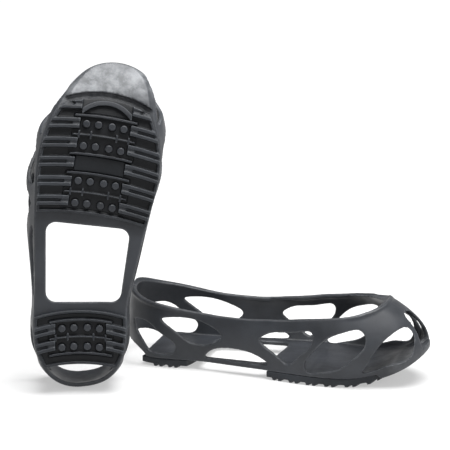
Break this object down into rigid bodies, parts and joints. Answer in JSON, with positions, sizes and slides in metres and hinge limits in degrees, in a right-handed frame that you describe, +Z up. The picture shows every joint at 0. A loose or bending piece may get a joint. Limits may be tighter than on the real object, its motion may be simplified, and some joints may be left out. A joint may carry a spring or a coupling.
{
  "type": "pair of slip-on ice cleats",
  "caption": "Pair of moulded rubber overshoe ice cleats with open webbed sides, lugged forefoot and heel treads and pegged grip inserts; one lies flat, the other stands on its heel",
  "frame": {"origin": "centre of the pair's bounding box at ground level", "axes": "+X runs along the flat left cleat from heel to toe, +Y points to its outer side, +Z is up; the upright right cleat stands on the -Y side of its heel with its outsole facing -Y"},
  "size_m": [0.3688, 0.2336, 0.3045],
  "materials": {
    "harness_rubber": "satin moulded rubber with pale scuffed edges",
    "tread_rubber": "matte moulded rubber",
    "insert_rubber": "dark satin rubber",
    "plate_rubber": "smooth matte rubber",
    "peg_rubber": "hard satin rubber"
  },
  "bodies": {
    "left_cleat": {"left_harness": "harness_rubber", "left_forefoot_tread": "tread_rubber", "left_heel_tread": "tread_rubber", "left_toe_arc": "tread_rubber", "left_front_grip_insert": "insert_rubber", "left_rear_grip_insert": "insert_rubber", "left_heel_grip_insert": "insert_rubber", "left_centre_plate": "plate_rubber", "left_front_pegs": "peg_rubber", "left_rear_pegs": "peg_rubber", "left_heel_pegs": "peg_rubber"},
    "right_cleat": {"right_harness": "harness_rubber", "right_forefoot_tread": "tread_rubber", "right_heel_tread": "tread_rubber", "right_toe_arc": "tread_rubber", "right_front_grip_insert": "insert_rubber", "right_rear_grip_insert": "insert_rubber", "right_heel_grip_insert": "insert_rubber", "right_centre_plate": "plate_rubber", "right_front_pegs": "peg_rubber", "right_rear_pegs": "peg_rubber", "right_heel_pegs": "peg_rubber"}
  },
  "joints": [
    {"name": "right_cleat_lift", "type": "slide", "parent": "left_cleat", "child": "right_cleat", "axis": [0, 0, 1], "range_m": [0, 0.35]}
  ]
}
